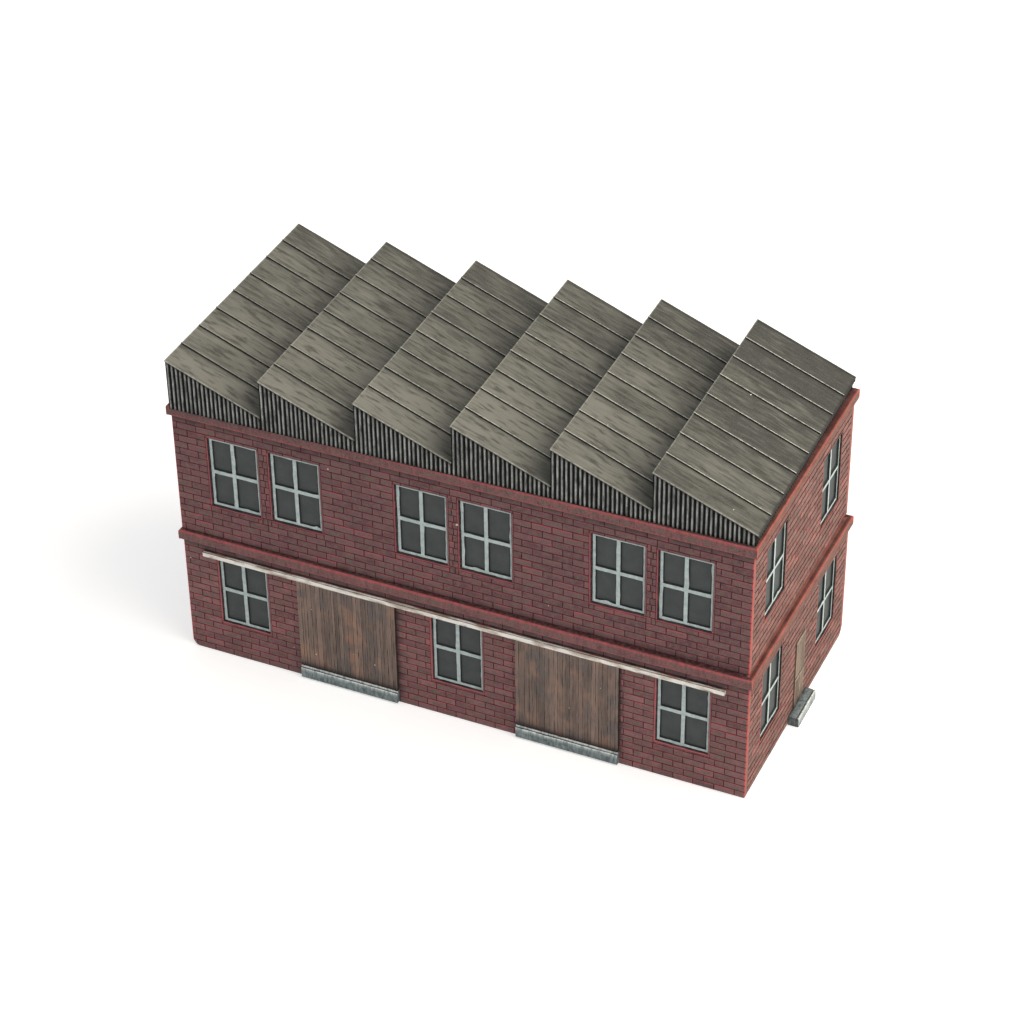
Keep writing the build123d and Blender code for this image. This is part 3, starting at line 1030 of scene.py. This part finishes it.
def slope_profile(wear):
    """Across a sheet from front to back: (y, lift above the sheet, rim, wash and painted shade,
    tone).

    wear is the rim paint on the crests of the seams.
    """
    panel = 2 * depth_half / (seams + 1)
    near = verge + [(0.14, 0, 0.1, 0.15), (0.5, 0, 0, 0.1)]
    far = verge + [(0.14, 0, 0, 0.5), (0.7, 0, 0, 0.45), (1.1, 0, 0, 0)]
    # In front of each seam's crest lies a dark line: wash and painted shade.
    seam = [(-1.1, 0, 0, 0.03), (-0.52, 0, 0, 0.3), (-0.38, 0, 0, 0.95), (-0.17, -0.02, 0, 1),
            (-0.12, 0.14, 0, 1), (-0.1, 0.18, wear, 0), (0.08, 0.18, wear, 0),
            (0.14, 0, 0, 0.45), (0.4, 0, 0, 0)]
    profile = [(-depth_half + y, *rest, 0.5) for y, *rest in near]
    for number in range(seams + 1):
        left = -depth_half + panel * number + seam_shift
        tone = rng.random()
        if number:
            profile += [(left + y, *rest, tone) for y, *rest in seam]
        profile += [(left + panel * part / 6, 0, 0, 0, tone) for part in range(1, 5)]
    profile += [(depth_half - y, *rest, 0.5) for y, *rest in far[::-1]]
    return np.array(profile)


def roof_slope(tooth):
    """One sheet with its seams, darker toward the valley with wash and painted shade; the last one
    turns down at the eave.
    """
    profile = slope_profile(0.4 + 0.1 * tooth)
    start, foot = peak_of(tooth), peak_of(tooth + 1)
    last = tooth == teeth - 1
    end = eave if last else foot
    stations = [start, start + 0.08, start + 0.25, *np.linspace(start, end, 15)[1:-1],
                end - 0.4, end]
    count, size = len(stations), len(profile)
    points = np.empty((count, size, 3))
    points[..., 0] = np.array(stations)[:, None]
    points[..., 1] = profile[None, :, 0]
    points[..., 2] = sheet_top(tooth, points[..., 0]) + profile[None, :, 1]
    brinks = [len(verge) - 1, -len(verge)]
    points[:, brinks, 2] -= np.abs(wave(count, 0.04, 6))[:, None]
    rim = np.tile(profile[:, 2], (count, 1))
    rim[:2] = np.maximum(rim[:2], 0.25)
    wash = np.tile(profile[:, 3], (count, 1))
    # Wash and painted shade deepen toward the valley; on the last sheet they lie along the eave's
    # edge.
    for station, least in enumerate([0.55] if last else [1, 0.46, 0.33, 0.23, 0.14, 0.06], 1):
        wash[-station] = np.maximum(wash[-station], least)
    fade = (0.75 if last else 0.9) * profile[:, 0] / depth_half
    tone = np.tile(profile[:, 4] - fade, (count, 1)) + (-0.9 if last else 0.25)
    skin = Skin(roof.put)
    skin.add(points, grid_faces(count, size), rim=rim, wash=wash, tone=tone)
    skin.add(points[0], [tuple(range(size))], rim=0.3, wash=0.3)
    # The end face at the foot and the underside are painted dark: painted shade.
    skin.add(points[-1][::-1], [tuple(range(size))], wash=1)
    skin.add(points[[0, -1, -1, 0], [0, 0, -1, -1]], [(0, 3, 2, 1)], wash=0.6)
    if last:
        drop = sheet_top(tooth, foot) - sheet + 0.1
        half = depth_half - behind_ribs
        skin.carry = roof.facade("right", foot)
        plate = outline(half, drop)
        rib_core(skin, plate, plate)
        # The turned-down eave under the sheet's lip is painted black: painted shade and wash.
        rib_strip(skin, -half, half, roof.bottom, lambda along: drop + sheet - lip, worn=0.08,
                  wash=1)
    skin.piece(f"roof_sheet_{tooth + 1}", sheet_paint, "roof_sheet", f"roof_slope_{tooth + 1}")


def rib_strip(skin, low, high, base, top_at, worn=1.0, wash=0.0):
    """Upright ribs from low to high; top_at gives a rib's top at a position along."""
    number = round((high - low) / rib_pitch)
    pitch = (high - low) / number
    offsets = np.array([-0.5, -0.27, -0.1, 0.1, 0.27, 0.5]) * pitch
    depths = np.array([1, 0.85, 0.1, 0.1, 0.85, 1]) * rib_depth
    rims = np.array([0, 0.05, 1, 1, 0.05, 0]) * worn
    # Black at the ribs' top, under the sheet, and at their foot: painted shadow.
    wash_and_shade_map = np.array([0.95, 0.5, 0.1, 0, 0, 0.1, 0.5, 0.9])
    for index in range(number):
        middle = low + pitch * (index + 0.5) + rng.uniform(-0.04, 0.04)
        rise = max(top_at(middle) - base, 0.2)
        near = np.minimum([0, 0.35, 0.8], 0.3 * rise) / rise
        shares = np.concatenate((near, [0.45, 0.6], 1 - near[::-1]))
        points = np.array([(middle + offset, -depth,
                            base + (top_at(middle + offset) - base) * share)
                           for offset, depth in zip(offsets, depths) for share in shares])
        inner = slice(len(shares), -len(shares))
        points[inner, 0] += rng.normal(0, 0.022, len(points[inner]))
        rim = np.repeat(rims, len(shares)) * rng.uniform(0.8, 1) * rng.uniform(0.85, 1, len(points))
        skin.add(points, grid_faces(len(offsets), len(shares)), rim=rim, tone=rng.random(),
                 wash=np.maximum(np.tile(wash_and_shade_map, len(offsets)), wash))


def outline(half, top):
    """An upright oblong from the roof's bottom, as (along, up) corners."""
    return [(-half, roof.bottom), (half, roof.bottom), (half, top), (-half, top)]


def rib_core(skin, near, far, *more):
    """Flat faces behind the ribs and at the wall's back; more faces may join their corners."""
    corners = [(along, -depth, up) for depth, shape in ((rib_depth, near), (roof_wall, far))
               for along, up in shape]
    skin.add(corners, [(0, 1, 2, 3), (7, 6, 5, 4), *more], wash=1)


def gable(side):
    """The corrugated saw-tooth wall under the ends of the sheets."""
    toward = 1 if side == "front" else -1
    skin = Skin(roof.facade(side))
    for tooth in range(teeth):
        low, high = sorted((toward * peak_of(tooth), toward * peak_of(tooth + 1)))

        def top_at(along, tooth=tooth, low=low, high=high):
            return sheet_top(tooth, toward * min(max(along, low), high)) - lip + 0.04

        rib_strip(skin, low, high, roof.bottom, top_at)
        start = low + (behind_ribs if toward > 0 else 0)
        end = high - (behind_ribs if toward < 0 else 0)
        shape = [(start, roof.bottom), (end, roof.bottom),
                 (end, top_at(end) - sheet + lip), (start, top_at(start) - sheet + lip)]
        rib_core(skin, shape, shape, (0, 4, 5, 1), (1, 5, 6, 2), (3, 7, 4, 0))
    skin.piece(f"gable_{side}_ribs", ribs, "corrugated", f"gable_{side}")


def riser(tooth):
    """The corrugated upright face under a peak."""
    base = roof.bottom if tooth == 0 else valley - sheet - 0.3
    top = peak - sheet + 0.1
    half = depth_half - 0.02
    skin = Skin(roof.facade("left", -peak_of(tooth)))
    rib_strip(skin, -half, half, base, lambda along: top)
    inner = half - rib_depth - 0.1
    rib_core(skin, outline(inner, top), outline(inner, top - 0.5))
    skin.piece(f"riser_{tooth + 1}_ribs", ribs, "corrugated", f"roof_riser_{tooth + 1}")


for tooth in range(teeth):
    roof_slope(tooth)
    riser(tooth)
for side in LONG_SIDES:
    gable(side)


# ---- floors: the CAD solids, painted ----
for node in ("base_floor", "upper_floor"):
    floor_mesh = frame["nodes"][node].data
    floor_mesh.materials.clear()
    floor_mesh.materials.append(cast)


# ---- dust ----
def flecks(skin, out, spots):
    """Small crumbs of dust lying on a face; spots are (along, up, size)."""
    ring = 7
    angles = np.linspace(0, 2 * math.pi, ring, endpoint=False)
    for along, up, size in spots:
        reach = size * rng.uniform(0.6, 1.2, ring)
        points = np.column_stack((along + reach * np.cos(angles), np.full(ring, out),
                                  up + reach * np.sin(angles)))
        crown = [(along, out + size * 0.6, up)]
        skin.add(np.concatenate((points, crown)), [(i, (i + 1) % ring, ring) for i in range(ring)])


def front_dust():
    """A few crumbs on the front and its doors."""
    skin = Skin(upper.facade("front"))
    flecks(skin, 0, ((0.8, 46.7, 0.3), (-26.1, 52.2, 0.16), (19.5, 33.2, 0.1)))
    skin.carry = front
    flecks(skin, 0, ((-58.8, 22.3, 0.14), (-36.4, 6.5, 0.13)))
    flecks(skin, -door_boxes[0][0][1] - ground.half[1],
           ((-31, 6.9, 0.16), (-31.5, 18, 0.12), (-17.9, 8.3, 0.17), (-22.5, 9.5, 0.09),
            (24, 11, 0.1), (30.5, 18, 0.09)))
    skin.piece("dust_front", dust, "brick")


def roof_dust(tooth, spots):
    """Crumbs on a roof sheet; spots are (distance down the sheet, y, size)."""
    lean = np.array(Matrix.Rotation(math.atan(slope_fall), 3, "Y"))
    origin = np.array([peak_of(tooth), 0, peak])
    skin = Skin(lambda points: roof.put(points[:, [0, 2, 1]] @ lean.T + origin))
    flecks(skin, 0, spots)
    skin.piece(f"dust_roof_{tooth + 1}", dust, "roof_sheet")


front_dust()
roof_dust(5, [(7, 6.3, 0.2), (15.8, -25.7, 0.16)])
roof_dust(4, [(6, -14, 0.13)])


# ---- stage: floor, light and camera ----
def by_view(tree, lighting, seen):
    """One strength for lighting, another for what the camera, a reflection or glass sees."""
    path = add_node(tree, "LightPath")
    total = path.outputs["Is Camera Ray"]
    for name in ("Is Glossy Ray", "Is Transmission Ray"):
        larger = add_node(tree, "Math", total, path.outputs[name])
        larger.operation = "MAXIMUM"
        total = larger.outputs[0]
    return add_node(tree, "MapRange", total, 0, 1, lighting, seen).outputs[0]


def stage_floor():
    """A pale floor that keeps the object's shadow and looks white to the camera."""
    material = bpy.data.materials.new("stage_floor")
    material.use_nodes = True
    tree = material.node_tree
    tree.nodes.clear()
    diffuse = add_node(tree, "BsdfDiffuse", linear((236, 236, 236)))
    emission = add_node(tree, "Emission", Strength=by_view(tree, lighting=0, seen=0.5))
    both = add_node(tree, "AddShader", diffuse.outputs[0], emission.outputs[0])
    add_node(tree, "OutputMaterial", Surface=both.outputs[0])
    mesh = bpy.data.meshes.new("stage_floor")
    reach = 6.0
    mesh.from_pydata([(-reach, -reach, 0), (reach, -reach, 0), (reach, reach, 0),
                      (-reach, reach, 0)], [], [(0, 1, 2, 3)])
    mesh.materials.append(material)
    floor = placed("stage_floor", mesh)
    floor.location.z = -0.00005


def world():
    """Even pale light, seen as white behind the object."""
    sky = bpy.data.worlds.new("studio")
    bpy.context.scene.world = sky
    sky.use_nodes = True
    background = sky.node_tree.nodes["Background"].inputs
    feed(sky.node_tree, background["Strength"], by_view(sky.node_tree, lighting=0.45, seen=1))
    background["Color"].default_value = (1, 1, 1, 1)


def lamp(name, direction, distance, size, level, colour):
    """A soft square lamp; level is how brightly it lights a white face turned to it."""
    light = bpy.data.lights.new(name, "AREA")
    light.shape = "SQUARE"
    light.size = size
    light.color = colour
    light.energy = level * (math.pi * distance) ** 2
    thing = placed(name, light)
    aim = Vector((0, 0, 0.035))
    toward = Vector(direction).normalized()
    thing.location = aim + toward * distance
    thing.rotation_euler = toward.to_track_quat("Z", "Y").to_euler()


def camera():
    """The photograph's viewpoint, from the front, above and to the right; metres, radians."""
    position = (0.193631, -0.420182, 0.358909)
    yaw, pitch, roll = -0.43362, -0.61569, -0.01459
    turn = (Matrix.Rotation(-yaw, 4, "Z") @ Matrix.Rotation(math.pi / 2 + pitch, 4, "X")
            @ Matrix.Rotation(roll, 4, "Z"))
    lens = bpy.data.cameras.new("camera")
    lens.sensor_width = 36
    lens.lens = 100.42
    thing = placed("camera", lens)
    thing.matrix_world = Matrix.Translation(position) @ turn
    bpy.context.scene.camera = thing


stage_floor()
world()
lamp("key", (0.9, 0.1, 0.7), distance=1.0, size=1.2, level=1.23, colour=(1.0, 0.92, 0.8))
lamp("top", (-0.1, -0.3, 1.0), distance=1.1, size=1.2, level=0.11, colour=(1.0, 1.0, 1.0))
camera()
bpy.context.scene.view_settings.view_transform = "Standard"
